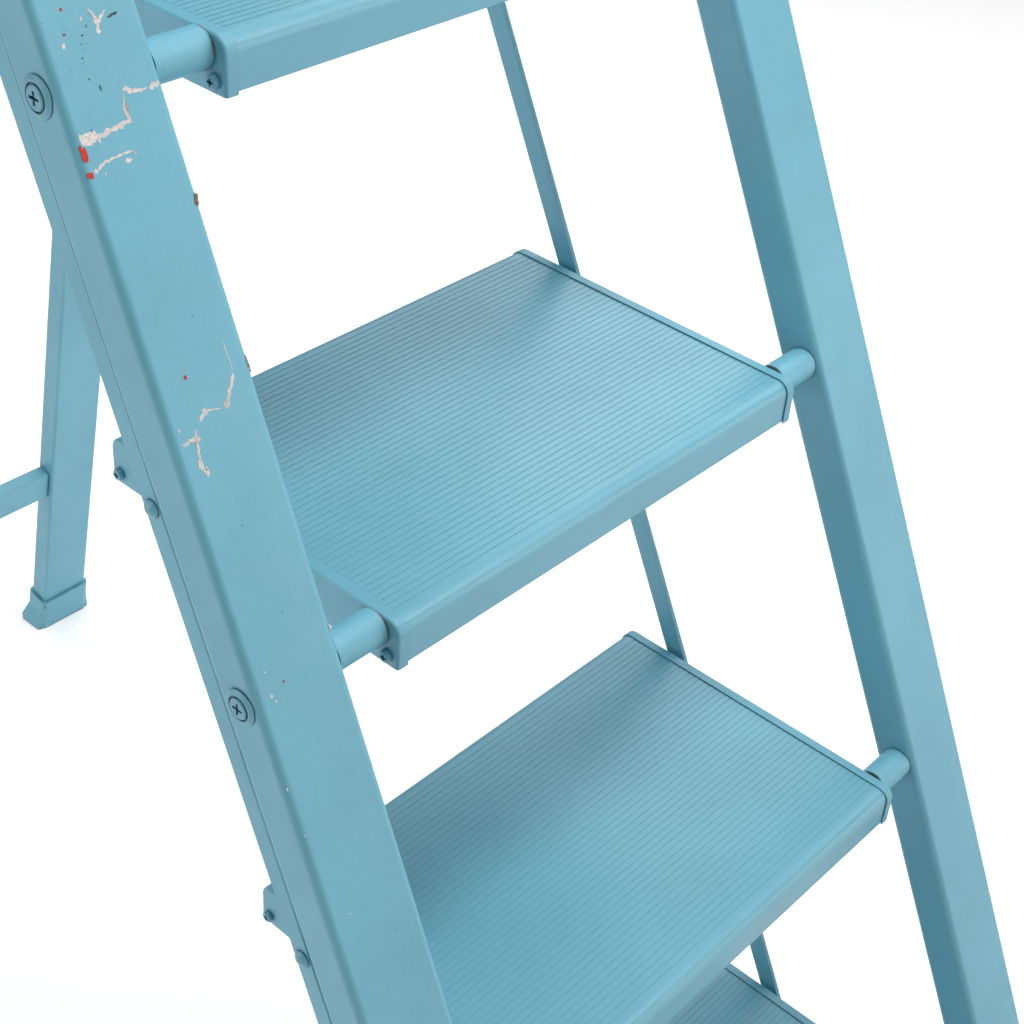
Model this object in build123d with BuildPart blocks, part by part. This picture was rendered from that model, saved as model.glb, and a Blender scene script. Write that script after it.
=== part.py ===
from build123d import *

import os
from math import cos, radians, sin, tan

# Folding stepladder with six wide ribbed treads. Millimetres, +Z up, -Y is the side that is climbed.
# The origin is on the floor, on the centre plane, midway between the front and the rear soles.

# Ladder layout
STEP_COUNT = 6
STEP_RISE = 234.1
FIRST_AXIS_HEIGHT = 222.3
STILE_LEAN = 64.2            # degrees from the floor, front frame
REAR_LEAN = 77.3             # degrees from the floor, rear frame
STANCE = 1151.9              # floor distance between the front and rear leg axes
FRONT_SPLAY = 0.98           # degrees that each stile leans in towards the centre plane
REAR_SPLAY = 0.66

# Front stiles
STILE_WIDTH = 48.4
STILE_DEPTH = 26.2
ROD_FORWARD = 1.3            # rod axis ahead of the middle of the stile's depth
STILE_WALL = 1.6
STILE_CORNER = 3.9
INNER_HALF_AT_FLOOR = 195.4  # centre plane to the inner face of a stile, at the floor
STILE_TOP_MARGIN = 38.0
END_CAP_THICKNESS = 4.0
END_CAP_INSERT = 14.0
END_CAP_ROUNDING = 1.5
END_CAP_OVERHANG = 0.5

# Rear legs
LEG_WIDTH = 48.6
LEG_DEPTH = 20.7
LEG_WALL = 1.5
LEG_CORNER = 2.5
LEG_HALF_AT_FLOOR = 207.9    # centre plane to the centre of a rear leg, at the floor
PIVOT_BEHIND_AXIS = 36.0     # hinge pin to the stile axis, square to the stile

# Tread, measured from the axis of its rod
TREAD_FRONT = 14.9
TREAD_REAR = 187.8
TREAD_TOP = 7.5
TREAD_BOTTOM = 16.2
TREAD_HALF_AT_FLOOR = 167.4  # centre plane to the outer face of an end cap, on the line down to the floor
TREAD_TAPER = 1.09           # degrees that the line of the caps leans in
NOSE_RADIUS = 7.0
HEEL_RADIUS = 6.0
SKIN = 2.0
SKIRT = 2.0
FLANGE = 8.0
RIB_PITCH = 4.05
GROOVE_WIDTH = 0.8
GROOVE_DEPTH = 0.15
WEB_PLACES = (60.0, 120.0)
WEB_DEPTH = 14.0
FRONT_BOSS = (-9.0, -11.6)
REAR_BOSS = (182.2, -11.6)
BOSS_RADIUS = 4.0
BOSS_BORE = 1.6
INSIDE_ROUNDING = 1.5
WEB_OVERLAP = 0.5

# End caps
CAP_PLATE = 2.2
CAP_LIP = 6.6
CAP_PROUD = 0.85
CAP_FIT = 0.1
CAP_BOTTOM = 17.3
CAP_ROUNDING = 1.6           # along the outer edge of the side plate
HOOK_REACH = 192.0
HOOK_DROP = 33.0
HOOK_CLEARANCE = 0.5
HOOK_ROOT = 1.0
HOOK_SHOULDER = 6.0

# Rods, sleeves and their screws
ROD_RADIUS = 5.2
ROD_RUNNING_FIT = 0.06
SLEEVE_RADIUS = 9.4
SLEEVE_END_GAP = 0.35
TAPPED_RADIUS = 3.0
TAPPED_DEPTH = 24.0
STILE_HOLE_RADIUS = 3.2
WASHER_RADIUS = 8.9
WASHER_SEAT_GAP = 0.25
WASHER_FLOOR = 0.6
WASHER_CROWN = 1.5
WASHER_RIM = 0.4
WASHER_BORE = 3.1
WASHER_WELL_GAP = 0.7         # clear of the screw head all round
WASHER_WELL_DRAFT = 0.2
WASHER_CREST = 0.9
STILE_SCREW_HEAD = 5.3
STILE_SCREW_HEIGHT = 1.6
STILE_SCREW_ROUNDING = 0.9
STILE_SCREW_SHANK = 2.9
STILE_SCREW_END_GAP = 2.0    # screw end to the bottom of its tapped hole
STILE_SCREW_RECESS = (6.0, 1.3, 1.4)  # length and width of each slot of the cross, and its depth
CAP_SCREW_HEAD = 3.2
CAP_SCREW_HEIGHT = 3.0
CAP_SCREW_SHANK = 1.5
CAP_SCREW_LENGTH = 14.0
CAP_SCREW_ROUNDING = 1.2
CAP_SCREW_RECESS = (3.6, 1.0, 1.6)

# Link bars and their rivets
RIVET_Y = 147.0              # rivet from the rod axis of the open tread
RIVET_Z = -10.5
RIVET_RADIUS = 2.5
RIVET_FIT = 0.06
BAR_RIVET_FIT = 0.02
RIVET_HEAD = 5.3
RIVET_DOME = 3.0
RIVET_EDGE = 0.7
RIVET_TAIL = 1.4             # rivet beyond the inner face of the cap plate
RIVET_FACE_GAP = 0.15        # shoulder or head to the plate beside it
BAR_WIDTH = 12.3
BAR_THICKNESS = 3.0
BAR_STANDOFF = 5.3
SHOULDER_RADIUS = 4.5

# Rear frame cross pieces
REST_TUBE_RADIUS = 8.0
REST_BELOW_ROD = 27.0
CROSSBAR_HEIGHT = 200.9
CROSSBAR_TALL = 32.5
CROSSBAR_DEEP = 13.0
CROSSBAR_SETBACK = 5.0
CROSSBAR_CORNER = 2.5
END_FIT = 0.15

# Apex hinges
BRACKET_SHEET = 3.0
BRACKET_INSIDE = 37.4
BRACKET_HALF_LENGTH = 21.0
BRACKET_EYE = 10.0
KNUCKLE_WIDTH = 36.0
KNUCKLE_EYE = 9.0
KNUCKLE_NECK = 13.0
LEG_STARTS_BELOW_PIN = 30.0
KNUCKLE_INSERT = 34.0
PIN_RADIUS = 4.0
PIN_HEAD = 6.5
PIN_HEAD_HEIGHT = 2.2
BRACKET_RIVET_SPACING = 28.0
BRACKET_RIVET_HEIGHT = 1.8
BRACKET_RIVET_TAIL = 3.0
BRACKET_GAP = 0.05
KNUCKLE_COLLAR = 3.0
KNUCKLE_ROUNDING = 0.8

# Feet
SLEEVE_WALL = 3.0
FOOT_FIT = 0.1
SOLE_THICKNESS = 6.0
FLARE_HEIGHT = 26.0
SOLE_CORNER = 3.5
SOLE_SIDE = 6.5              # sole beyond the side of the leg
FRONT_FOOT_TOP = 46.0
REAR_FOOT_TOP = 41.0
FRONT_SOLE_OUT = 33.0        # leg axis at the floor to the outward end of the sole
FRONT_SOLE_IN = 24.0
REAR_SOLE_OUT = 17.5
REAR_SOLE_IN = 12.0
LEG_END_LIFT = 7.0
FLARE_INSET = 0.25

# Worked out from the dimensions above
SIN_LEAN = sin(radians(STILE_LEAN))
COS_LEAN = cos(radians(STILE_LEAN))
TAN_FRONT_SPLAY = tan(radians(FRONT_SPLAY))
TAN_REAR_SPLAY = tan(radians(REAR_SPLAY))
TAN_TAPER = tan(radians(TREAD_TAPER))
STILE_REAR = STILE_DEPTH / 2 + ROD_FORWARD
SIN_REAR = sin(radians(REAR_LEAN))
COS_REAR = cos(radians(REAR_LEAN))
FRONT_FLOOR_Y = (FRONT_SOLE_OUT - REAR_SOLE_OUT - STANCE) / 2
REAR_FLOOR_Y = FRONT_FLOOR_Y + STANCE
TOP_RAIL_HEIGHT = FIRST_AXIS_HEIGHT + STEP_COUNT * STEP_RISE
STILE_LENGTH = (TOP_RAIL_HEIGHT + STILE_TOP_MARGIN) / SIN_LEAN


def stile_y(height):
    """Place of the stile axis along Y at a height above the floor."""
    return FRONT_FLOOR_Y + height / tan(radians(STILE_LEAN))


def inner_half(height):
    """Centre plane to the inner face of a stile at a height."""
    return INNER_HALF_AT_FLOOR - height / SIN_LEAN * TAN_FRONT_SPLAY


def leg_y(height):
    """Place of the rear leg axis along Y at a height."""
    return REAR_FLOOR_Y - height / tan(radians(REAR_LEAN))


def leg_x(height):
    """Centre plane to the centre of a rear leg at a height."""
    return LEG_HALF_AT_FLOOR - height / SIN_REAR * TAN_REAR_SPLAY


def tread_half(height):
    """Centre plane to the outer face of an end cap at a height."""
    return TREAD_HALF_AT_FLOOR - height / SIN_LEAN * TAN_TAPER


# The hinge pin is on the rear leg axis, square behind the stile axis.
PIN_Z = (REAR_FLOOR_Y - FRONT_FLOOR_Y - PIVOT_BEHIND_AXIS / SIN_LEAN) / (
    1 / tan(radians(STILE_LEAN)) + 1 / tan(radians(REAR_LEAN))
)
PIN_Y = leg_y(PIN_Z)
PIN_X = leg_x(PIN_Z)
STEP_HEIGHTS = [FIRST_AXIS_HEIGHT + n * STEP_RISE for n in range(STEP_COUNT)]
TOP_STEP = STEP_HEIGHTS[-1]
REST_TUBE_Z = TOP_STEP - REST_BELOW_ROD
REST_TUBE_Y = leg_y(REST_TUBE_Z)

stile_direction = Vector(-TAN_FRONT_SPLAY, COS_LEAN, SIN_LEAN).normalized()
leg_direction = Vector(-TAN_REAR_SPLAY, -COS_REAR, SIN_REAR).normalized()
CROSSWISE = Vector(1, 0, 0)

os.makedirs("parts", exist_ok=True)


def save(builder, name):
    """Label a finished piece and write its STEP file."""
    builder.part.label = name
    export_step(builder.part, f"parts/{name}.step")


def side_plane(x, y, z):
    """Plane facing +X: its local x runs along +Y and its local y along +Z."""
    return Plane(origin=(x, y, z), x_dir=(0, 1, 0), z_dir=(1, 0, 0))


def leg_plane(x, y, z, direction):
    """Section plane of a leg: local x runs across the ladder, the normal runs up the leg."""
    across = CROSSWISE - direction * CROSSWISE.dot(direction)
    return Plane(origin=(x, y, z), x_dir=across, z_dir=direction)


def save_pair(builder, name):
    """Write a right-hand piece and its mirror image."""
    save(builder, f"{name}_right")
    with BuildPart() as twin:
        mirror(builder.part, about=Plane.YZ)
    save(twin, f"{name}_left")


# ---- Front stiles -------------------------------------------------------------------------------
screw_heights = STEP_HEIGHTS + [TOP_RAIL_HEIGHT]
stile_floor_x = INNER_HALF_AT_FLOOR + STILE_WIDTH / 2
stile_foot = leg_plane(
    stile_floor_x, FRONT_FLOOR_Y + ROD_FORWARD * SIN_LEAN, -ROD_FORWARD * COS_LEAN, stile_direction
)
stile_end = (LEG_END_LIFT + STILE_DEPTH / 2 * COS_LEAN) / SIN_LEAN
pin_along_stile = (PIN_Y - FRONT_FLOOR_Y) * COS_LEAN + PIN_Z * SIN_LEAN
bracket_plane = Plane(
    origin=(PIN_X, FRONT_FLOOR_Y + pin_along_stile * COS_LEAN, pin_along_stile * SIN_LEAN),
    x_dir=CROSSWISE,
    z_dir=(0, -SIN_LEAN, COS_LEAN),
)

with BuildPart() as stile:
    with BuildSketch(stile_foot.offset(stile_end)):
        RectangleRounded(STILE_WIDTH, STILE_DEPTH, STILE_CORNER)
        RectangleRounded(
            STILE_WIDTH - 2 * STILE_WALL,
            STILE_DEPTH - 2 * STILE_WALL,
            STILE_CORNER - STILE_WALL,
            mode=Mode.SUBTRACT,
        )
    extrude(amount=STILE_LENGTH - stile_end)
    for height in screw_heights:
        with BuildSketch(side_plane(inner_half(height) - STILE_WIDTH / 2, stile_y(height), height)):
            Circle(STILE_HOLE_RADIUS)
        extrude(amount=2 * STILE_WIDTH, mode=Mode.SUBTRACT)
    with BuildSketch(bracket_plane):
        with GridLocations(0, BRACKET_RIVET_SPACING, 1, 2):
            Circle(RIVET_RADIUS)
    extrude(amount=-STILE_DEPTH, mode=Mode.SUBTRACT)
save_pair(stile, "stile")

# Plug in the open top of each stile
with BuildPart() as end_cap:
    with BuildSketch(stile_foot.offset(STILE_LENGTH)):
        RectangleRounded(
            STILE_WIDTH + 2 * END_CAP_OVERHANG, STILE_DEPTH + 2 * END_CAP_OVERHANG, STILE_CORNER
        )
    extrude(amount=END_CAP_THICKNESS)
    fillet(end_cap.faces().sort_by(Axis.Z)[-1].edges(), END_CAP_ROUNDING)
    with BuildSketch(stile_foot.offset(STILE_LENGTH)):
        RectangleRounded(
            STILE_WIDTH - 2 * STILE_WALL - 2 * FOOT_FIT,
            STILE_DEPTH - 2 * STILE_WALL - 2 * FOOT_FIT,
            STILE_CORNER - STILE_WALL,
        )
    extrude(amount=-END_CAP_INSERT)
save_pair(end_cap, "stile_end_cap")


# ---- Feet ---------------------------------------------------------------------------------------
def build_foot(section_plane, width, depth, corner, top_height, floor_y, sole_span, lean_sign):
    """Sleeve over the end of a leg, flared into a flat sole on the floor."""
    wide = width + 2 * SLEEVE_WALL
    deep = depth + 2 * SLEEVE_WALL
    lean_sine = abs(section_plane.z_dir.Z)
    sleeve_top = top_height / lean_sine
    along_floor = abs(section_plane.z_dir.Y) / lean_sine
    origin_x = section_plane.origin.X
    sole_y = floor_y + (sole_span[1] + sole_span[0]) / 2
    sole_depth = sole_span[1] - sole_span[0]
    flare_y = floor_y + lean_sign * FLARE_HEIGHT * along_floor
    with BuildPart() as foot:
        with BuildSketch(section_plane.offset(-deep)):
            RectangleRounded(wide, deep, corner + SLEEVE_WALL)
        extrude(amount=sleeve_top + deep)
        split(bisect_by=Plane.XY, keep=Keep.TOP)
        with BuildSketch(Plane.XY):
            with Locations((origin_x, sole_y)):
                RectangleRounded(width + 2 * SOLE_SIDE, sole_depth, SOLE_CORNER)
        extrude(amount=SOLE_THICKNESS)
        with BuildSketch(Plane.XY.offset(SOLE_THICKNESS)):
            with Locations((origin_x, sole_y)):
                RectangleRounded(width + 2 * SOLE_SIDE, sole_depth, SOLE_CORNER)
        with BuildSketch(Plane.XY.offset(FLARE_HEIGHT)):
            with Locations((origin_x, flare_y)):
                RectangleRounded(
                    wide - 2 * FLARE_INSET, deep / lean_sine - 2 * FLARE_INSET, corner + SLEEVE_WALL
                )
        loft()
        with BuildSketch(section_plane.offset(LEG_END_LIFT)):
            RectangleRounded(width + 2 * FOOT_FIT, depth + 2 * FOOT_FIT, corner + FOOT_FIT)
        extrude(amount=sleeve_top + deep, mode=Mode.SUBTRACT)
    return foot


front_foot = build_foot(
    stile_foot, STILE_WIDTH, STILE_DEPTH, STILE_CORNER, FRONT_FOOT_TOP, FRONT_FLOOR_Y,
    (-FRONT_SOLE_OUT, FRONT_SOLE_IN), 1,
)
save_pair(front_foot, "front_foot")

leg_foot = leg_plane(LEG_HALF_AT_FLOOR, REAR_FLOOR_Y, 0, leg_direction)
rear_foot = build_foot(
    leg_foot, LEG_WIDTH, LEG_DEPTH, LEG_CORNER, REAR_FOOT_TOP, REAR_FLOOR_Y,
    (-REAR_SOLE_IN, REAR_SOLE_OUT), -1,
)
save_pair(rear_foot, "rear_foot")


# ---- Treads -------------------------------------------------------------------------------------
def tread_outline(grow, bottom):
    """Side outline of a tread, grown outward by grow, with its lower edge at -bottom."""
    front = -TREAD_FRONT - grow
    rear = TREAD_REAR + grow
    top = TREAD_TOP + grow
    nose = NOSE_RADIUS + grow
    heel = HEEL_RADIUS + grow
    with BuildSketch() as outline:
        with BuildLine():
            Line((front, -bottom), (front, top - nose))
            RadiusArc((front, top - nose), (front + nose, top), nose)
            Line((front + nose, top), (rear - heel, top))
            RadiusArc((rear - heel, top), (rear, top - heel), heel)
            Line((rear, top - heel), (rear, -bottom))
            Line((rear, -bottom), (front, -bottom))
        make_face()
    return outline.sketch


def tread_section():
    """Open-bottomed extrusion: ribbed skin, skirts with inward flanges, webs and screw bosses."""
    inside_front = -TREAD_FRONT + SKIRT
    inside_rear = TREAD_REAR - SKIRT
    inside_top = TREAD_TOP - SKIN
    rib_span = TREAD_FRONT - NOSE_RADIUS + TREAD_REAR - HEEL_RADIUS
    groove_count = int(rib_span / RIB_PITCH)
    groove_middle = -TREAD_FRONT + NOSE_RADIUS + rib_span / 2
    with BuildSketch() as section:
        add(tread_outline(0, TREAD_BOTTOM))
        with Locations(((inside_front + inside_rear) / 2, (inside_top - TREAD_BOTTOM + SKIRT) / 2)):
            RectangleRounded(
                inside_rear - inside_front,
                inside_top + TREAD_BOTTOM - SKIRT,
                INSIDE_ROUNDING,
                mode=Mode.SUBTRACT,
            )
        with Locations(((inside_front + inside_rear) / 2, -TREAD_BOTTOM)):
            Rectangle(inside_rear - inside_front - 2 * FLANGE, 3 * SKIRT, mode=Mode.SUBTRACT)
        for web in WEB_PLACES:
            with Locations((web, inside_top - WEB_DEPTH / 2 + WEB_OVERLAP)):
                Rectangle(SKIRT, WEB_DEPTH + 2 * WEB_OVERLAP)
        with Locations(FRONT_BOSS, REAR_BOSS):
            Circle(BOSS_RADIUS)
            Circle(BOSS_BORE, mode=Mode.SUBTRACT)
        with Locations((groove_middle, TREAD_TOP)):
            with GridLocations(RIB_PITCH, 0, groove_count, 1):
                Rectangle(GROOVE_WIDTH, 2 * GROOVE_DEPTH, mode=Mode.SUBTRACT)
    return section.sketch


section = tread_section()


def build_tread(height):
    """The ribbed extrusion of the tread whose rod is at a height."""
    half = tread_half(height) - CAP_PLATE - CAP_FIT
    with BuildPart() as tread:
        with BuildSketch(side_plane(-half, stile_y(height), height)):
            add(section)
        extrude(amount=2 * half)
    return tread


def hook_outline(tube_y):
    """Plate under the rear of a cap with an open notch that drops over the rest tube."""
    with BuildSketch() as hook:
        with BuildLine():
            Polyline(
                (tube_y, -CAP_BOTTOM + HOOK_ROOT),
                (TREAD_REAR, -CAP_BOTTOM + HOOK_ROOT),
                (HOOK_REACH, -CAP_BOTTOM - HOOK_SHOULDER),
                (HOOK_REACH, -HOOK_DROP),
                (tube_y, -HOOK_DROP),
                close=True,
            )
        make_face()
        with Locations((tube_y, -REST_BELOW_ROD)):
            Circle(REST_TUBE_RADIUS + HOOK_CLEARANCE, mode=Mode.SUBTRACT)
        with Locations((tube_y, -REST_BELOW_ROD - REST_TUBE_RADIUS)):
            Rectangle(
                2 * (REST_TUBE_RADIUS + HOOK_CLEARANCE), 2 * REST_TUBE_RADIUS, mode=Mode.SUBTRACT
            )
    return hook.sketch


def build_cap(height, with_hook):
    """Right-hand end cap: side plate with a lip round the front, top and rear, rounded outside."""
    outer = tread_half(height)
    y = stile_y(height)
    inner_face = side_plane(outer - CAP_PLATE, y, height)
    with BuildPart() as cap:
        with BuildSketch(inner_face):
            add(tread_outline(CAP_PROUD, CAP_BOTTOM))
        extrude(amount=CAP_PLATE)
        with BuildSketch(side_plane(outer - CAP_LIP, y, height)):
            add(tread_outline(CAP_PROUD, CAP_BOTTOM))
            add(tread_outline(CAP_FIT, CAP_BOTTOM + 1), mode=Mode.SUBTRACT)
        extrude(amount=CAP_LIP - CAP_PLATE)
        outer_edges = cap.faces().sort_by(Axis.X)[-1].outer_wire().edges()
        fillet(outer_edges.sort_by(Axis.Z)[1:], CAP_ROUNDING)
        if with_hook:
            with BuildSketch(inner_face):
                add(hook_outline(REST_TUBE_Y - y))
            extrude(amount=CAP_PLATE)
        with BuildSketch(inner_face):
            Circle(ROD_RADIUS + ROD_RUNNING_FIT)
            with Locations((RIVET_Y, RIVET_Z)):
                Circle(RIVET_RADIUS + RIVET_FIT)
            with Locations(FRONT_BOSS, REAR_BOSS):
                Circle(BOSS_BORE)
        extrude(amount=CAP_PLATE, mode=Mode.SUBTRACT)
    return cap


def recess_mouth(recess):
    """Cross of two bars, the mouth of a cross recess."""
    Rectangle(recess[0], recess[1])
    Rectangle(recess[1], recess[0])


def build_cap_screws(height):
    """Four pan-head screws, front and rear on each cap."""
    outer = tread_half(height)
    y = stile_y(height)
    with BuildPart() as screws:
        with BuildSketch(side_plane(outer, y, height)):
            with Locations(FRONT_BOSS, REAR_BOSS):
                Circle(CAP_SCREW_HEAD)
        extrude(amount=CAP_SCREW_HEIGHT)
        fillet(screws.faces().sort_by(Axis.X)[-2:].edges(), CAP_SCREW_ROUNDING)
        with BuildSketch(side_plane(outer + CAP_SCREW_HEIGHT, y, height)):
            with Locations(FRONT_BOSS, REAR_BOSS):
                recess_mouth(CAP_SCREW_RECESS)
        extrude(amount=-CAP_SCREW_RECESS[2], mode=Mode.SUBTRACT)
        with BuildSketch(side_plane(outer, y, height)):
            with Locations(FRONT_BOSS, REAR_BOSS):
                Circle(CAP_SCREW_SHANK)
        extrude(amount=-CAP_SCREW_LENGTH)
        mirror(about=Plane.YZ)
    return screws


def build_rod(height):
    """Rod through a tread, tapped at both ends for the stile screws."""
    half = inner_half(height) - SLEEVE_END_GAP
    with BuildPart() as rod:
        with BuildSketch(side_plane(-half, stile_y(height), height)):
            Circle(ROD_RADIUS)
        extrude(amount=2 * half)
        with BuildSketch(side_plane(half, stile_y(height), height)):
            Circle(TAPPED_RADIUS)
        extrude(amount=-TAPPED_DEPTH, mode=Mode.SUBTRACT)
        with BuildSketch(side_plane(-half, stile_y(height), height)):
            Circle(TAPPED_RADIUS)
        extrude(amount=TAPPED_DEPTH, mode=Mode.SUBTRACT)
    return rod


for number, height in enumerate(STEP_HEIGHTS, start=1):
    save(build_tread(height), f"tread_{number}")
    save_pair(build_cap(height, height == TOP_STEP), f"tread_{number}_cap")
    save(build_cap_screws(height), f"tread_{number}_cap_screws")
    save(build_rod(height), f"rod_{number}")

# Spacer sleeves over the rods, between the caps and the stiles
with BuildPart() as sleeves:
    for height in STEP_HEIGHTS:
        with BuildSketch(side_plane(tread_half(height) + SLEEVE_END_GAP, stile_y(height), height)):
            Circle(SLEEVE_RADIUS)
            Circle(ROD_RADIUS + ROD_RUNNING_FIT, mode=Mode.SUBTRACT)
        extrude(amount=inner_half(height) - tread_half(height) - 2 * SLEEVE_END_GAP)
    mirror(about=Plane.YZ)
save(sleeves, "spacer_sleeves")

# Top rail between the stile tops
with BuildPart() as top_rail:
    rail_half = inner_half(TOP_RAIL_HEIGHT) - SLEEVE_END_GAP
    with BuildSketch(side_plane(0, stile_y(TOP_RAIL_HEIGHT), TOP_RAIL_HEIGHT)):
        Circle(SLEEVE_RADIUS)
    extrude(amount=rail_half)
    with BuildSketch(side_plane(rail_half, stile_y(TOP_RAIL_HEIGHT), TOP_RAIL_HEIGHT)):
        Circle(TAPPED_RADIUS)
    extrude(amount=-TAPPED_DEPTH, mode=Mode.SUBTRACT)
    mirror(about=Plane.YZ)
save(top_rail, "top_rail")


# ---- Stile screws and their cup washers ---------------------------------------------------------
def washer_seat(height):
    """Centre plane to the flat under a stile washer."""
    return inner_half(height) + STILE_WIDTH + WASHER_SEAT_GAP


well = STILE_SCREW_HEAD + WASHER_WELL_GAP
with BuildPart() as washers:
    for height in screw_heights:
        axle = Plane(
            origin=(washer_seat(height), stile_y(height), height), x_dir=(0, 1, 0), z_dir=(0, 0, 1)
        )
        with BuildSketch(axle):
            with BuildLine():
                Polyline(
                    (WASHER_BORE, 0),
                    (WASHER_RADIUS, 0),
                    (WASHER_RADIUS, -WASHER_RIM),
                    (well + WASHER_WELL_DRAFT + WASHER_CREST, -WASHER_CROWN),
                    (well + WASHER_WELL_DRAFT, -WASHER_CROWN),
                    (well, -WASHER_FLOOR),
                    (WASHER_BORE, -WASHER_FLOOR),
                    close=True,
                )
            make_face()
        revolve(axis=Axis((washer_seat(height), stile_y(height), height), (1, 0, 0)))
    mirror(about=Plane.YZ)
save(washers, "stile_washers")

with BuildPart() as stile_screws:
    for height in screw_heights:
        seat = washer_seat(height) + WASHER_FLOOR
        axle = Plane(origin=(seat, stile_y(height), height), x_dir=(1, 0, 0), z_dir=(0, 0, 1))
        with BuildSketch(axle) as head:
            with Locations((STILE_SCREW_HEIGHT / 2, STILE_SCREW_HEAD / 2)):
                Rectangle(STILE_SCREW_HEIGHT, STILE_SCREW_HEAD)
            fillet(head.vertices().group_by(Axis.X)[-1].sort_by(Axis.Y)[-1], STILE_SCREW_ROUNDING)
        revolve(axis=Axis((seat, stile_y(height), height), (1, 0, 0)))
        with BuildSketch(side_plane(seat + STILE_SCREW_HEIGHT, stile_y(height), height)):
            recess_mouth(STILE_SCREW_RECESS)
        extrude(amount=-STILE_SCREW_RECESS[2], mode=Mode.SUBTRACT)
        with BuildSketch(side_plane(seat, stile_y(height), height)):
            Circle(STILE_SCREW_SHANK)
        extrude(amount=-(STILE_WIDTH + TAPPED_DEPTH - STILE_SCREW_END_GAP))
    mirror(about=Plane.YZ)
save(stile_screws, "stile_screws")

# ---- Link bars ----------------------------------------------------------------------------------
first_rivet = (tread_half(STEP_HEIGHTS[0]), stile_y(STEP_HEIGHTS[0]) + RIVET_Y, STEP_HEIGHTS[0] + RIVET_Z)
bar_direction = Vector(-TAN_TAPER, COS_LEAN, SIN_LEAN).normalized()
bar_span = (TOP_STEP - STEP_HEIGHTS[0]) / bar_direction.Z
bar_normal = Vector(1, 0, 0).cross(bar_direction).cross(bar_direction) * -1
bar_plane = Plane(
    origin=Vector(*first_rivet) + Vector(BAR_STANDOFF, 0, 0),
    x_dir=bar_direction,
    z_dir=bar_normal,
)

with BuildPart() as link_bar:
    with BuildSketch(bar_plane):
        with Locations((bar_span / 2, 0)):
            SlotCenterToCenter(bar_span, BAR_WIDTH)
    extrude(amount=BAR_THICKNESS)
    for height in STEP_HEIGHTS:
        with BuildSketch(side_plane(tread_half(height), stile_y(height) + RIVET_Y, height + RIVET_Z)):
            Circle(RIVET_RADIUS + BAR_RIVET_FIT)
        extrude(amount=4 * BAR_STANDOFF, mode=Mode.SUBTRACT)
save_pair(link_bar, "link_bar")

with BuildPart() as link_rivets:
    for height in STEP_HEIGHTS:
        cap_face = tread_half(height)
        place = (stile_y(height) + RIVET_Y, height + RIVET_Z)
        head_seat = cap_face + BAR_STANDOFF + BAR_THICKNESS + RIVET_FACE_GAP
        tail = side_plane(cap_face - CAP_PLATE - RIVET_TAIL, *place)
        with BuildSketch(tail):
            Circle(RIVET_RADIUS)
        extrude(amount=RIVET_TAIL + CAP_PLATE + BAR_STANDOFF + BAR_THICKNESS + 2 * RIVET_FACE_GAP)
        with BuildSketch(tail):
            Circle(SHOULDER_RADIUS)
        extrude(amount=RIVET_TAIL - RIVET_FACE_GAP)
        with BuildSketch(side_plane(cap_face + RIVET_FACE_GAP, *place)):
            Circle(SHOULDER_RADIUS)
        extrude(amount=BAR_STANDOFF - 2 * RIVET_FACE_GAP)
        crown = Plane(origin=(head_seat, *place), x_dir=(1, 0, 0), z_dir=(0, 0, 1))
        with BuildSketch(crown):
            with BuildLine():
                Line((0, 0), (0, RIVET_HEAD))
                Line((0, RIVET_HEAD), (RIVET_EDGE, RIVET_HEAD))
                TangentArc((RIVET_DOME, 0), (RIVET_EDGE, RIVET_HEAD), tangent=(0, 1))
                Line((RIVET_DOME, 0), (0, 0))
            make_face()
        revolve(axis=Axis((head_seat, *place), (1, 0, 0)))
save_pair(link_rivets, "link_rivets")

# ---- Rear frame ---------------------------------------------------------------------------------
leg_start = (LEG_END_LIFT + LEG_DEPTH / 2 * COS_REAR) / SIN_REAR
pin_along_leg = PIN_Z / leg_direction.Z

with BuildPart() as rear_leg:
    with BuildSketch(leg_foot.offset(leg_start)):
        RectangleRounded(LEG_WIDTH, LEG_DEPTH, LEG_CORNER)
        RectangleRounded(
            LEG_WIDTH - 2 * LEG_WALL, LEG_DEPTH - 2 * LEG_WALL, LEG_CORNER - LEG_WALL, mode=Mode.SUBTRACT
        )
    extrude(amount=pin_along_leg - LEG_STARTS_BELOW_PIN - leg_start)
save_pair(rear_leg, "rear_leg")

with BuildPart() as knuckle:
    with BuildSketch(leg_foot.offset(pin_along_leg - LEG_STARTS_BELOW_PIN - KNUCKLE_INSERT)):
        RectangleRounded(
            LEG_WIDTH - 2 * LEG_WALL - 2 * FOOT_FIT,
            LEG_DEPTH - 2 * LEG_WALL - 2 * FOOT_FIT,
            KNUCKLE_ROUNDING,
        )
    extrude(amount=KNUCKLE_INSERT)
    with BuildSketch(leg_foot.offset(pin_along_leg - LEG_STARTS_BELOW_PIN)):
        RectangleRounded(LEG_WIDTH, LEG_DEPTH, LEG_CORNER)
    extrude(amount=KNUCKLE_COLLAR)
    with BuildSketch(leg_foot.offset(pin_along_leg - LEG_STARTS_BELOW_PIN)):
        Rectangle(KNUCKLE_WIDTH, KNUCKLE_NECK)
    extrude(amount=LEG_STARTS_BELOW_PIN)
    with BuildSketch(side_plane(PIN_X - KNUCKLE_WIDTH / 2, PIN_Y, PIN_Z)):
        Circle(KNUCKLE_EYE)
    extrude(amount=KNUCKLE_WIDTH)
    with BuildSketch(side_plane(PIN_X - KNUCKLE_WIDTH, PIN_Y, PIN_Z)):
        Circle(PIN_RADIUS + ROD_RUNNING_FIT)
    extrude(amount=2 * KNUCKLE_WIDTH, mode=Mode.SUBTRACT)
save_pair(knuckle, "hinge_knuckle")

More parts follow.
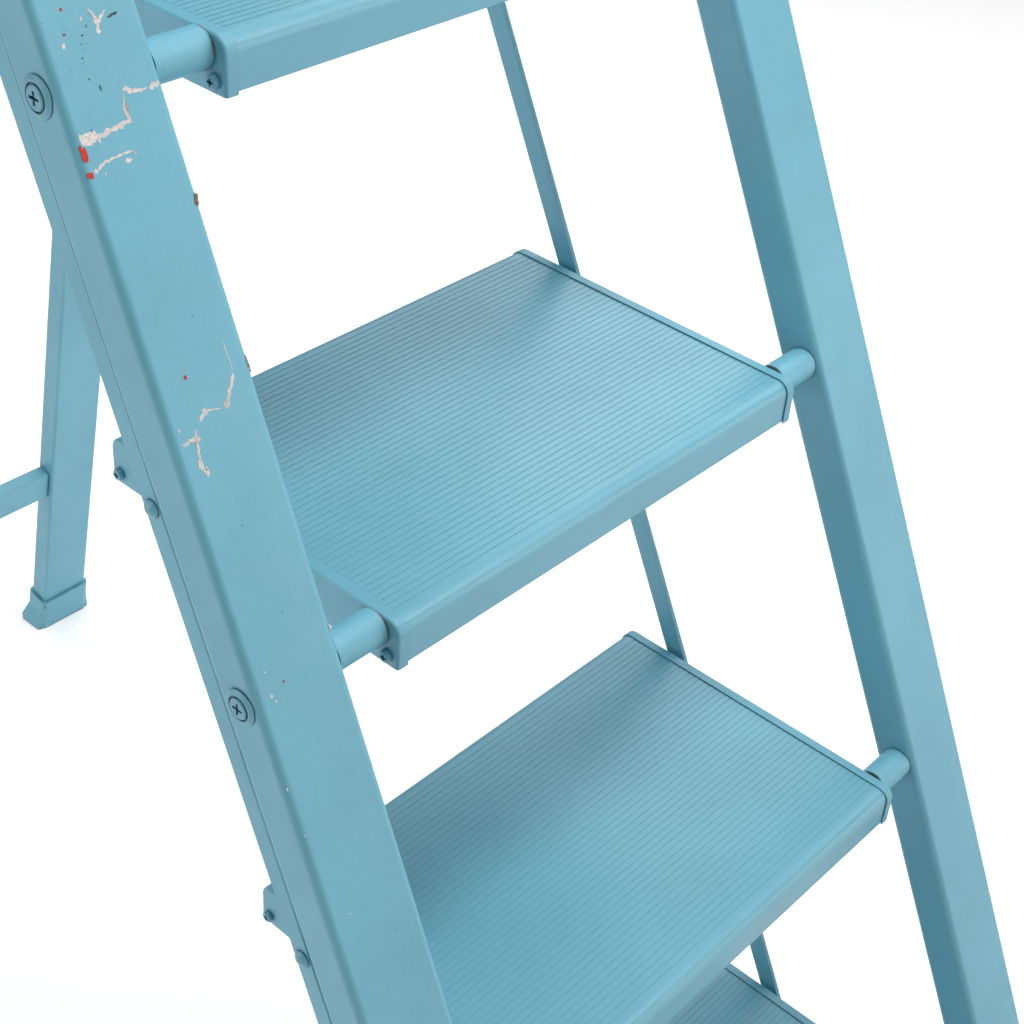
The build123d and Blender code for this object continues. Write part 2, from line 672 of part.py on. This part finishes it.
with BuildPart() as rest_tube:
    rest_half = leg_x(REST_TUBE_Z) - LEG_WIDTH / 2 - 2 * END_FIT
    with BuildSketch(side_plane(-rest_half, REST_TUBE_Y, REST_TUBE_Z)):
        Circle(REST_TUBE_RADIUS)
        Circle(REST_TUBE_RADIUS - LEG_WALL, mode=Mode.SUBTRACT)
    extrude(amount=2 * rest_half)
save(rest_tube, "rest_tube")

bar_middle_back = CROSSBAR_SETBACK + CROSSBAR_DEEP / 2 - LEG_DEPTH / 2
crossbar_plane = Plane(
    origin=(0, leg_y(CROSSBAR_HEIGHT), CROSSBAR_HEIGHT), x_dir=(0, SIN_REAR, COS_REAR), z_dir=(1, 0, 0)
)
with BuildPart() as crossbar:
    crossbar_half = leg_x(CROSSBAR_HEIGHT + CROSSBAR_TALL / 2) - LEG_WIDTH / 2 - END_FIT
    with BuildSketch(crossbar_plane.offset(-crossbar_half)):
        with Locations((bar_middle_back, 0)):
            RectangleRounded(CROSSBAR_DEEP, CROSSBAR_TALL, CROSSBAR_CORNER)
            RectangleRounded(
                CROSSBAR_DEEP - 2 * LEG_WALL,
                CROSSBAR_TALL - 2 * LEG_WALL,
                CROSSBAR_CORNER - LEG_WALL,
                mode=Mode.SUBTRACT,
            )
    extrude(amount=2 * crossbar_half)
save(crossbar, "crossbar")

# ---- Apex hinge brackets ------------------------------------------------------------------------
bracket_outside = BRACKET_INSIDE + 2 * BRACKET_SHEET
web_front = -STILE_REAR - BRACKET_GAP
with BuildPart() as bracket:
    with BuildSketch(bracket_plane.offset(web_front)):
        Rectangle(bracket_outside, 2 * BRACKET_HALF_LENGTH)
    extrude(amount=-BRACKET_SHEET)
    flange_plane = Plane(
        origin=(PIN_X - bracket_outside / 2, PIN_Y, PIN_Z),
        x_dir=(0, COS_LEAN, SIN_LEAN),
        z_dir=(1, 0, 0),
    )
    reach = PIVOT_BEHIND_AXIS + web_front
    for flange_offset in (0, bracket_outside - BRACKET_SHEET):
        with BuildSketch(flange_plane.offset(flange_offset)):
            with BuildLine():
                Polyline(
                    (-BRACKET_HALF_LENGTH, reach - BRACKET_SHEET),
                    (-BRACKET_HALF_LENGTH, reach),
                    (BRACKET_HALF_LENGTH, reach),
                    (BRACKET_HALF_LENGTH, reach - BRACKET_SHEET),
                    (BRACKET_EYE, 0),
                    (-BRACKET_EYE, 0),
                    close=True,
                )
            make_face()
            Circle(BRACKET_EYE)
        extrude(amount=BRACKET_SHEET)
    with BuildSketch(flange_plane.offset(-BRACKET_SHEET)):
        Circle(PIN_RADIUS)
    extrude(amount=2 * bracket_outside, mode=Mode.SUBTRACT)
    with BuildSketch(bracket_plane):
        with GridLocations(0, BRACKET_RIVET_SPACING, 1, 2):
            Circle(RIVET_RADIUS)
    extrude(amount=-STILE_DEPTH, mode=Mode.SUBTRACT)
save_pair(bracket, "hinge_bracket")

with BuildPart() as bracket_rivets:
    with BuildSketch(bracket_plane.offset(web_front - BRACKET_SHEET)):
        with GridLocations(0, BRACKET_RIVET_SPACING, 1, 2):
            Circle(RIVET_HEAD)
    extrude(amount=-BRACKET_RIVET_HEIGHT)
    with BuildSketch(bracket_plane.offset(web_front - BRACKET_SHEET)):
        with GridLocations(0, BRACKET_RIVET_SPACING, 1, 2):
            Circle(RIVET_RADIUS)
    extrude(amount=BRACKET_SHEET + STILE_WALL + BRACKET_RIVET_TAIL)
    mirror(about=Plane.YZ)
save(bracket_rivets, "bracket_rivets")

with BuildPart() as hinge_pins:
    with BuildSketch(side_plane(PIN_X - bracket_outside / 2 - PIN_HEAD_HEIGHT, PIN_Y, PIN_Z)):
        Circle(PIN_RADIUS)
    extrude(amount=bracket_outside + 2 * PIN_HEAD_HEIGHT)
    with BuildSketch(side_plane(PIN_X - bracket_outside / 2 - PIN_HEAD_HEIGHT, PIN_Y, PIN_Z)):
        Circle(PIN_HEAD)
    extrude(amount=PIN_HEAD_HEIGHT)
    with BuildSketch(side_plane(PIN_X + bracket_outside / 2, PIN_Y, PIN_Z)):
        Circle(PIN_HEAD)
    extrude(amount=PIN_HEAD_HEIGHT)
    mirror(about=Plane.YZ)
save(hinge_pins, "hinge_pins")

# Facts that the record states
print("rod axes", [(round(stile_y(h), 2), round(h, 2)) for h in STEP_HEIGHTS])
print("top rivet", round(stile_y(TOP_STEP) + RIVET_Y, 2), round(TOP_STEP + RIVET_Z, 2))
print("hinge pin", round(PIN_X, 2), round(PIN_Y, 2), round(PIN_Z, 2))
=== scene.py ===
import math
import random

import bmesh
import bpy
from mathutils import Matrix, Vector


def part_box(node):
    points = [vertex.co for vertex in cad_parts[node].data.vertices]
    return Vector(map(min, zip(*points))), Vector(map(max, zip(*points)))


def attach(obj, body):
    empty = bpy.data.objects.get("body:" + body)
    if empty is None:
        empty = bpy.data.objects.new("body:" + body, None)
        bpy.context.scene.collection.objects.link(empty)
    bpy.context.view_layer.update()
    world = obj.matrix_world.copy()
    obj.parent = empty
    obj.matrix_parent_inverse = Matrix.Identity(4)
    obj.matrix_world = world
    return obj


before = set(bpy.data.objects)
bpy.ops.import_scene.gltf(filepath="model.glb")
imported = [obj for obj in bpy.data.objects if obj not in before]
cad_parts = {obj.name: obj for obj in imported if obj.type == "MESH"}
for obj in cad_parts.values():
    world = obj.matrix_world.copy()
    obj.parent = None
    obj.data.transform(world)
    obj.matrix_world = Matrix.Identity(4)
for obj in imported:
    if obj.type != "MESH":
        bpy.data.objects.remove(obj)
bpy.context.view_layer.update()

MM = 0.001
PAINT = (0.138, 0.385, 0.492)
TREAD_PAINT = (0.142, 0.385, 0.488)
RUST = (0.21, 0.13, 0.08)


# ---- Camera -------------------------------------------------------------------------------------
CAMERA_PLACE = (-0.5964, -0.6753, 1.2159)
CAMERA_AZIMUTH = -50.45
CAMERA_ELEVATION = 36.23
CAMERA_ROLL = 4.66
SENSOR_WIDTH = 36
FOCAL_LENGTH = 63.73


def make_camera():
    """Camera in front of the left stile, looking down and to the right past the treads."""
    azimuth = math.radians(CAMERA_AZIMUTH)
    elevation = math.radians(CAMERA_ELEVATION)
    roll = math.radians(CAMERA_ROLL)
    back = Vector((
        math.sin(azimuth) * math.cos(elevation),
        -math.cos(azimuth) * math.cos(elevation),
        math.sin(elevation),
    ))
    level_right = (-back).cross(Vector((0, 0, 1))).normalized()
    level_up = back.cross(level_right)
    right = math.cos(roll) * level_right + math.sin(roll) * level_up
    up = back.cross(right)
    data = bpy.data.cameras.new("camera")
    data.sensor_width = SENSOR_WIDTH
    data.lens = FOCAL_LENGTH
    data.clip_start = 0.05
    data.clip_end = 50
    camera = bpy.data.objects.new("camera", data)
    turned = Matrix((right, up, back)).transposed().to_4x4()
    camera.matrix_world = Matrix.Translation(CAMERA_PLACE) @ turned
    bpy.context.collection.objects.link(camera)
    bpy.context.scene.camera = camera


# ---- Node graphs --------------------------------------------------------------------------------
class Graph:
    """A material's node tree, with short calls for what this scene uses."""

    def __init__(self, name):
        self.material = bpy.data.materials.new(name)
        self.material.use_nodes = True
        self.tree = self.material.node_tree
        self.tree.nodes.clear()
        self.place = self.node("ShaderNodeTexCoord").outputs["Object"]

    def node(self, kind, settings=None, **inputs):
        made = self.tree.nodes.new(kind)
        for key, value in (settings or {}).items():
            setattr(made, key, value)
        for key, value in inputs.items():
            self.put(made.inputs[key.replace("_", " ")], value)
        return made

    def put(self, socket, value):
        if isinstance(value, bpy.types.NodeSocket):
            self.tree.links.new(value, socket)
        elif isinstance(value, tuple) and len(value) == 3 and socket.type == "RGBA":
            socket.default_value = (*value, 1)
        else:
            socket.default_value = value

    def stretched(self, scale):
        made = self.node("ShaderNodeMapping")
        self.put(made.inputs["Vector"], self.place)
        made.inputs["Scale"].default_value = scale
        return made.outputs[0]

    def noise(self, scale, detail=2.0, roughness=0.5, vector=None):
        made = self.node("ShaderNodeTexNoise", Scale=scale, Detail=detail, Roughness=roughness)
        self.put(made.inputs["Vector"], vector or self.place)
        return made.outputs["Fac"]

    def ramp(self, value, low, high, to_low=0.0, to_high=1.0):
        made = self.node("ShaderNodeMapRange", {"clamp": True, "interpolation_type": "SMOOTHSTEP"})
        for key, number in zip(
            ("Value", "From Min", "From Max", "To Min", "To Max"), (value, low, high, to_low, to_high)
        ):
            self.put(made.inputs[key], number)
        return made.outputs[0]

    def math(self, operation, a, b=0.0):
        made = self.node("ShaderNodeMath", {"operation": operation})
        self.put(made.inputs[0], a)
        self.put(made.inputs[1], b)
        return made.outputs[0]

    def mix(self, factor, a, b):
        made = self.node("ShaderNodeMix", {"data_type": "RGBA"})
        self.put(made.inputs[0], factor)
        self.put(made.inputs[6], a)
        self.put(made.inputs[7], b)
        return made.outputs[2]

    def bump(self, height, distance, strength=1.0, normal=None):
        made = self.node("ShaderNodeBump", Height=height, Distance=distance, Strength=strength)
        if normal is not None:
            self.put(made.inputs["Normal"], normal)
        return made.outputs[0]

    def surface(self, color, roughness, normal, **more):
        shader = self.node("ShaderNodeBsdfPrincipled")
        self.put(shader.inputs["Base Color"], color)
        self.put(shader.inputs["Roughness"], roughness)
        if normal is not None:
            self.put(shader.inputs["Normal"], normal)
        for key, value in more.items():
            self.put(shader.inputs[key.replace("_", " ")], value)
        out = self.node("ShaderNodeOutputMaterial")
        self.tree.links.new(shader.outputs[0], out.inputs["Surface"])
        return self.material


def shade(color, factor):
    return tuple(c * factor for c in color)


SPECK_COLOR = (0.05, 0.13, 0.16)
# Colour and reach of the painted shade that darkens crevices, seams and the rings around heads
CREVICE_SHADE_COLOR = (0.012, 0.075, 0.105)
CREVICE_SHADE_REACH = 0.0022
GRIME_COLOR = (0.17, 0.12, 0.085)
WAVE_HEIGHT = 0.00018
PEEL_HEIGHT = 0.00006


def paint(
    name, color=PAINT, roughness=0.42, peel=0.5, specks=0.5, edge=0.0008, soiled=False, sheen=0.05
):
    """Satin enamel: orange peel, faint clouding and brush streaks, fine dust and dark specks, and
    painted shade darkening its crevices.
    """
    g = Graph(name)
    cloud = g.ramp(g.noise(9, 4, 0.6), 0.3, 0.7)
    tone = g.mix(cloud, shade(color, 0.94), shade(color, 1.05))
    streak = g.ramp(g.noise(30, 3, 0.6, g.stretched((1, 0.12, 0.12))), 0.35, 0.75)
    tone = g.mix(g.math("MULTIPLY", streak, 0.12), tone, shade(color, 0.86))
    mottle = g.ramp(g.noise(900, 2, 0.7), 0.3, 0.7, 0.0, 0.10)
    tone = g.mix(mottle, tone, shade(color, 1.25))
    speck_map = g.node("ShaderNodeTexVoronoi", {"feature": "F1"}, Scale=330.0, Randomness=1.0)
    g.put(speck_map.inputs["Vector"], g.place)
    chance = g.ramp(g.noise(60, 2), 0.62, 0.66)
    speck = g.math("MULTIPLY", g.ramp(speck_map.outputs["Distance"], 0.16, 0.08), chance)
    tone = g.mix(g.math("MULTIPLY", speck, specks), tone, SPECK_COLOR)
    # Painted shade: ambient occlusion darkens the paint towards a dark teal in crevices and seams
    crevice_shade = g.node(
        "ShaderNodeAmbientOcclusion", {"samples": 6, "only_local": False}, Distance=CREVICE_SHADE_REACH
    ).outputs["AO"]
    tone = g.mix(g.ramp(crevice_shade, 0.30, 0.78, 0.85, 0.0), tone, CREVICE_SHADE_COLOR)
    if soiled:
        height = g.node("ShaderNodeSeparateXYZ", Vector=g.place).outputs["Z"]
        low = g.ramp(height, 0.0004, 0.0026, 1.0, 0.0)
        grime = g.math("MULTIPLY", low, g.ramp(g.noise(90), 0.3, 0.6))
        tone = g.mix(g.math("MULTIPLY", grime, 0.8), tone, GRIME_COLOR)
    fine = g.noise(1100, 2, 0.6)
    wave = g.noise(160, 2, 0.5)
    corner = g.node("ShaderNodeBevel", {"samples": 4}, Radius=edge).outputs[0]
    normal = g.bump(wave, WAVE_HEIGHT * peel, 1.0, corner)
    normal = g.bump(fine, PEEL_HEIGHT * peel, 1.0, normal)
    gloss = g.ramp(g.noise(60, 3), 0.3, 0.7, roughness - sheen, roughness + sheen)
    return g.surface(tone, gloss, normal, Specular_IOR_Level=0.5)


# ---- Materials on the CAD nodes -----------------------------------------------------------------
def dress():
    """Each CAD node takes the paint that suits it."""
    stile = paint("stile_paint", PAINT, 0.42, 0.8)
    tread = paint("tread_paint", TREAD_PAINT, 0.33, 0.35, 0.0, 0.0006, sheen=0.0)
    cap = paint("cap_paint", shade(PAINT, 0.97), 0.42, 0.6, 0.5, 0.0009)
    tube = paint("tube_paint", shade(PAINT, 1.05), 0.45, 1.6, 0.3, 0.0006)
    bar = paint("bar_paint", PAINT, 0.42, 0.8, 0.4, 0.0006)
    screw = paint("screw_paint", shade(PAINT, 0.9), 0.35, 0.8, 0.3, 0.0005)
    leg = paint("leg_paint", PAINT, 0.42, 0.8, 0.4, 0.0008)
    foot = paint("foot_paint", PAINT, 0.5, 1.2, 0.6, 0.0010, soiled=True)
    rules = (
        ("cap_screws", screw), ("_cap_", cap), ("tread_", tread), ("stile_screws", screw),
        ("stile_washers", screw), ("stile_", stile), ("rod_", tube), ("spacer", tube),
        ("top_rail", tube), ("rest_tube", tube), ("link_bar", bar), ("link_rivets", screw),
        ("rear_leg", leg), ("crossbar", leg), ("foot", foot), ("hinge_", bar), ("bracket_", screw),
    )
    for name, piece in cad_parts.items():
        chosen = next(material for part, material in rules if part in name)
        for place in piece.material_slots:
            place.material = chosen
        if not piece.material_slots:
            piece.data.materials.append(chosen)


# ---- Wear on the left stile ---------------------------------------------------------------------
# The stile's front face: a point is given as millimetres up the stile from the floor, and across it
# from its middle line, positive towards the treads.
LEAN = math.radians(64.2)
SPLAY = math.radians(0.98)
STILE_FOOT = Vector((-219.6, -568.2, 0.0)) * MM
FACE_OUT = 11.8 * MM
stile_up = Vector((math.tan(SPLAY), math.cos(LEAN), math.sin(LEAN))).normalized()
face_normal = Vector((0, -math.sin(LEAN), math.cos(LEAN)))
stile_across = stile_up.cross(face_normal).normalized()
face_normal = stile_across.cross(stile_up).normalized()
FLAKE_THICKNESS = 0.10 * MM


def on_front_face(along, across):
    """Point on the front face of the left stile."""
    foot = STILE_FOOT + face_normal * FACE_OUT
    return foot + stile_up * (along * MM) + stile_across * (across * MM)


def flat_piece(name, outline, material, body, normal):
    """Thin closed flake from an outline of points that lie on a face."""
    mesh = bmesh.new()
    low = [mesh.verts.new(p - normal * FLAKE_THICKNESS) for p in outline]
    high = [mesh.verts.new(p + normal * FLAKE_THICKNESS) for p in outline]
    mesh.faces.new(high)
    mesh.faces.new(list(reversed(low)))
    count = len(outline)
    for n in range(count):
        after = (n + 1) % count
        mesh.faces.new((low[n], low[after], high[after], high[n]))
    bmesh.ops.triangulate(mesh, faces=[f for f in mesh.faces if len(f.verts) > 4])
    bmesh.ops.recalc_face_normals(mesh, faces=mesh.faces)
    data = bpy.data.meshes.new(name)
    mesh.to_mesh(data)
    mesh.free()
    data.materials.append(material)
    piece = bpy.data.objects.new(name, data)
    bpy.context.collection.objects.link(piece)
    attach(piece, body)


SCRATCH_STEP = 0.9
POINTED_END = 0.35


def scratch(name, path, widths, material, rng):
    """Ragged ribbon along a path of (along, across) points on the stile's front face."""
    points = [Vector(p) for p in path]
    samples = []
    for n, (start, end) in enumerate(zip(points, points[1:])):
        steps = max(2, int((end - start).length / SCRATCH_STEP))
        for k in range(steps if n < len(points) - 2 else steps + 1):
            share = (n + k / steps) / (len(points) - 1)
            spot = start.lerp(end, k / steps)
            samples.append((spot, (end - start).normalized(), share))
    left, right = [], []
    for spot, heading, share in samples:
        side = Vector((-heading.y, heading.x))
        width = widths[0] + (widths[1] - widths[0]) * share
        ends = POINTED_END if share in (0.0, 1.0) else 1.0
        drift = side * rng.uniform(-0.2, 0.2) * width
        left.append(spot + drift + side * ends * width * rng.uniform(0.25, 0.75))
        right.append(spot + drift - side * ends * width * rng.uniform(0.25, 0.75))
    outline = [on_front_face(*p) for p in left + list(reversed(right))]
    flat_piece(name, outline, material, "front_frame", face_normal)


def blotch(name, along, across, length, width, material, rng):
    """Ragged spot on the stile's front face."""
    count = max(7, int(length * 3))
    outline = []
    for n in range(count):
        turn = 2 * math.pi * n / count
        reach = rng.uniform(0.6, 1.15) / 2
        outline.append(on_front_face(
            along + reach * length * math.sin(turn), across + reach * width * math.cos(turn)
        ))
    flat_piece(name, outline, material, "front_frame", face_normal)


def bare(name, color, spread):
    """Primer, old red paint or bare dark metal under a chip."""
    g = Graph(name)
    blot = g.ramp(g.noise(700, 3, 0.7), 0.35, 0.65)
    tone = g.mix(blot, shade(color, 1 - spread), shade(color, 1 + spread))
    grit = g.ramp(g.noise(1500, 2, 0.7), 0.62, 0.70)
    tone = g.mix(g.math("MULTIPLY", grit, 0.5), tone, shade(color, 0.35))
    return g.surface(tone, 0.7, g.bump(g.noise(1200, 2), 0.0001), Specular_IOR_Level=0.3)


RING_OFF_CAP = 0.55 * MM


def rust_rings():
    """Rust bleeding at the joint between each spacer sleeve and its cap."""
    g = Graph("rust_line")
    patch = g.ramp(g.noise(140, 3, 0.6), 0.42, 0.62)
    tone = g.mix(patch, shade(PAINT, 0.9), RUST)
    material = g.surface(tone, 0.6, g.bump(g.noise(900, 2), 0.0001), Specular_IOR_Level=0.3)
    inner, outer, wide, count = 9.0 * MM, 9.5 * MM, 0.3 * MM, 48
    for number in range(1, 7):
        rod = [sum(pair) / 2 for pair in zip(*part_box(f"rod_{number}"))]
        for side, sign, corner in (("left", -1, 0), ("right", 1, 1)):
            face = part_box(f"tread_{number}_cap_{side}")[corner][0] + sign * RING_OFF_CAP
            mesh = bmesh.new()
            rings = []
            for reach, shift in ((inner, -wide), (outer, -wide), (outer, wide), (inner, wide)):
                rings.append([
                    mesh.verts.new((
                        face + shift,
                        rod[1] + reach * math.cos(2 * math.pi * k / count),
                        rod[2] + reach * math.sin(2 * math.pi * k / count),
                    ))
                    for k in range(count)
                ])
            for a, b in zip(rings, rings[1:] + rings[:1]):
                for k in range(count):
                    mesh.faces.new((a[k], a[(k + 1) % count], b[(k + 1) % count], b[k]))
            bmesh.ops.recalc_face_normals(mesh, faces=mesh.faces)
            data = bpy.data.meshes.new(f"rust_ring_{number}_{side}")
            mesh.to_mesh(data)
            mesh.free()
            data.materials.append(material)
            ring = bpy.data.objects.new(data.name, data)
            bpy.context.collection.objects.link(ring)
            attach(ring, "front_frame")


WEAR_SEED = 11


def add_wear():
    """Chips, scratches and specks where the paint is knocked off, mostly on the left stile, and
    painted shade for two dents on a rear foot.
    """
    rng = random.Random(WEAR_SEED)
    primer = bare("primer", (0.62, 0.58, 0.56), 0.12)
    red = bare("old_red", (0.50, 0.045, 0.025), 0.25)
    dark = bare("dark_metal", (0.05, 0.07, 0.07), 0.4)
    rust = bare("rust", (0.22, 0.13, 0.08), 0.4)
    strokes = (
        ("step_top", ((1020, 22), (1019, 17)), (2.4, 2.0), primer),
        ("step_mid", ((1019, 16), (1019, 10), (1021, 5)), (0.9, 2.2), primer),
        ("step_thread", ((1020, 5), (1014, 2.6), (1011, 3.0), (1008, 4.5)), (0.5, 0.7), primer),
        ("step_low", ((1009, 4.5), (1008, -4), (1007, -12)), (1.6, 2.4), primer),
        ("step_end", ((1007, -11), (1007, -16), (1006, -20)), (3.2, 4.6), primer),
        ("low_line", ((998, 1), (998, -5), (997, -13), (995, -17)), (0.7, 1.2), primer),
        ("low_drop", ((998, 1), (996, 2.5)), (0.5, 0.5), primer),
        ("branch_long", ((1053, 1), (1049, 2.8), (1043, 2.4)), (1.0, 2.0), primer),
        ("branch_fork", ((1047, 3), (1049, 5.5), (1051, 8)), (1.4, 0.5), primer),
        ("branch_dark", ((1048, 8), (1049, 13)), (0.5, 1.2), dark),
        ("hook_top", ((902, 14.6), (896, 10.5), (890, 6.5)), (1.2, 1.8), primer),
        ("hook_foot", ((893, 7.6), (889.5, 6)), (2.0, 2.8), primer),
        ("hook_faint", ((890.5, 4), (891.5, 0), (892, -3.5)), (0.4, 0.8), primer),
        ("hook_blob", ((893, -3.2), (891, -5.0), (889.5, -8)), (3.4, 1.4), primer),
        ("cross_bar", ((883, -19), (883.5, -14), (882.5, -10)), (1.2, 2.2), primer),
        ("cross_stem", ((887, -11.5), (879, -12.5), (874, -13.2)), (0.9, 1.1), primer),
        ("cross_foot", ((875, -13.0), (870.5, -14.0)), (2.2, 1.8), primer),
        ("top_hair", ((916, 14), (910, 14.3), (903, 14.6)), (0.35, 0.4), primer),
        ("edge_nick", ((975, 22.8), (970, 22.2)), (1.2, 1.6), rust),
        ("edge_nick_low", ((907, 22.6), (899, 22.9)), (0.6, 0.5), rust),
    )
    for name, path, widths, material in strokes:
        scratch(name, path, widths, material, rng)
    spots = (
        (1002, -20.5, 7.0, 3.4, red), (994, -20.6, 3.4, 3.2, red), (995, -17.8, 2.6, 2.0, primer),
        (995, -2.3, 2.4, 3.2, primer), (993, -14, 1.6, 1.0, primer), (1050, -3.3, 2.6, 1.0, primer),
        (1042, -14.4, 2.6, 2.0, primer), (1055, -10.4, 1.6, 1.2, red), (1046, -12.4, 1.2, 1.6, rust),
        (908, -8.1, 2.6, 1.9, red), (869, -12.1, 4.6, 2.6, primer), (889, -18.5, 2.0, 1.2, primer),
        (870, -12.0, 1.4, 0.8, dark), (1036, -8, 0.9, 0.9, dark), (1024, -4.5, 2.6, 0.8, dark),
        (1028, -8, 0.8, 0.8, dark), (1044, -5, 0.9, 1.1, dark), (1047, -2, 0.8, 0.8, dark),
        (1041, -6.5, 0.7, 0.7, dark), (780, -15.3, 1.5, 1.2, primer), (769, -15.7, 2.6, 1.8, primer),
        (766, -14.4, 1.2, 1.4, primer), (728, -22.6, 1.6, 1.0, primer), (705, -21.5, 1.4, 1.0, primer),
        (772, -8.0, 1.2, 1.8, rust), (783, 22.6, 3.4, 1.0, primer), (1020.5, 20.5, 0.9, 0.9, dark),
        (1020, 17.5, 0.7, 0.7, dark), (1010, -14, 0.6, 0.6, dark), (1008, -17, 0.6, 0.7, dark),
        (800, 2, 0.7, 0.7, dark), (842, -4, 0.6, 0.6, dark), (660, -12, 1.2, 0.9, primer),
        (690, 3, 0.8, 0.7, primer), (640, 8, 0.6, 0.8, dark), (930, 4, 0.6, 0.6, dark),
    )
    for number, (along, across, length, width, material) in enumerate(spots, start=1):
        blotch(f"spot_{number}", along, across, length, width, material, rng)
    for number in range(1, 29):
        along, across = rng.uniform(1022, 1062), rng.gauss(-7, 5)
        size = rng.uniform(0.2, 0.5)
        blotch(f"speck_{number}", along, max(-20, across), size, size, dark, rng)
    # Two small dark discs on the inner side of the right rear foot: painted shade standing in for two
    # old dents
    leg_axis, leg_half_width, sleeve = 207.9, 24.3, 3.1
    face = leg_axis - leg_half_width - sleeve
    for number, (y, z, size) in enumerate(((577, 30, 2.2), (561, 34.5, 1.3)), start=1):
        outline = [
            Vector((face, y + size * math.cos(turn), z + size * math.sin(turn))) * MM
            for turn in (2 * math.pi * k / 12 for k in range(12))
        ]
        flat_piece(f"foot_dent_shade_{number}", outline, dark, "rear_frame", Vector((-1, 0, 0)))


# ---- Room ---------------------------------------------------------------------------------------
# Soft round lamps about the ladder: azimuth from the front, height angle, distance, width, power
LAMPS = {
    "left_back": (-122, 11, 2.5, 1.5, 18.5),
    "high_back": (170, 65, 3.2, 2.0, 46),
    "right": (80, 35, 3.0, 1.8, 20),
    "near_top": (35, 48, 1.55, 0.6, 5.8),
    "camera_side": (-48, 62, 2.3, 1.0, 5.2),
    "back_wall": (124, 35, 3.2, 1.75, 21),
    "front_low": (38, 8, 3.0, 1.6, 18),
    "overhead": (0, 85, 2.4, 0.7, 12),
    "over_right": (60, 76, 2.4, 0.7, 15),
}
LIT_POINT = Vector((0.0, -0.15, 0.65))
FLOOR_SIDE = 160
FLOOR_WHITE = (0.82, 0.82, 0.82)
FLOOR_GLOW = 0.36
FAR_FLOOR_GLOW = 0.85
WORLD_LIGHT = 0.06
HORIZON_LIGHT = 0.5
HORIZON_TOP = 0.14


def make_room():
    """Pale floor, white surround and large soft lamps."""
    bpy.ops.mesh.primitive_plane_add(size=FLOOR_SIDE)
    floor = bpy.context.object
    floor.name = "floor"
    g = Graph("floor_white")
    away = g.node("ShaderNodeVectorMath", {"operation": "LENGTH"})
    g.put(away.inputs[0], g.place)
    glow = g.ramp(away.outputs["Value"], 2.0, 7.0, FLOOR_GLOW, FAR_FLOOR_GLOW)
    floor.data.materials.append(g.surface(
        FLOOR_WHITE, 0.9, None, Specular_IOR_Level=0.0, Emission_Color=(1.0, 1.0, 1.0),
        Emission_Strength=glow,
    ))
    world = bpy.data.worlds.new("studio")
    world.use_nodes = True
    background = world.node_tree.nodes["Background"]
    background.inputs["Color"].default_value = (1, 1, 1, 1)
    tree = world.node_tree
    split = tree.nodes.new("ShaderNodeSeparateXYZ")
    fade = tree.nodes.new("ShaderNodeMapRange")
    fade.interpolation_type = "SMOOTHSTEP"
    fade.inputs["From Max"].default_value = HORIZON_TOP
    fade.inputs["To Min"].default_value = HORIZON_LIGHT
    fade.inputs["To Max"].default_value = WORLD_LIGHT
    tree.links.new(tree.nodes.new("ShaderNodeTexCoord").outputs["Generated"], split.inputs[0])
    tree.links.new(split.outputs["Z"], fade.inputs["Value"])
    tree.links.new(fade.outputs[0], background.inputs["Strength"])
    bpy.context.scene.world = world
    for name, (azimuth, height, distance, size, power) in LAMPS.items():
        data = bpy.data.lights.new(name, "AREA")
        data.shape = "DISK"
        data.size = size
        data.energy = power
        lamp = bpy.data.objects.new(name, data)
        turn, tilt = math.radians(azimuth), math.radians(height)
        away = Vector(
            (math.sin(turn) * math.cos(tilt), -math.cos(turn) * math.cos(tilt), math.sin(tilt))
        )
        lamp.location = LIT_POINT + distance * away
        lamp.rotation_euler = away.to_track_quat("Z", "Y").to_euler()
        bpy.context.collection.objects.link(lamp)
    bpy.context.scene.view_settings.view_transform = "Standard"


make_camera()
dress()
add_wear()
rust_rings()
make_room()
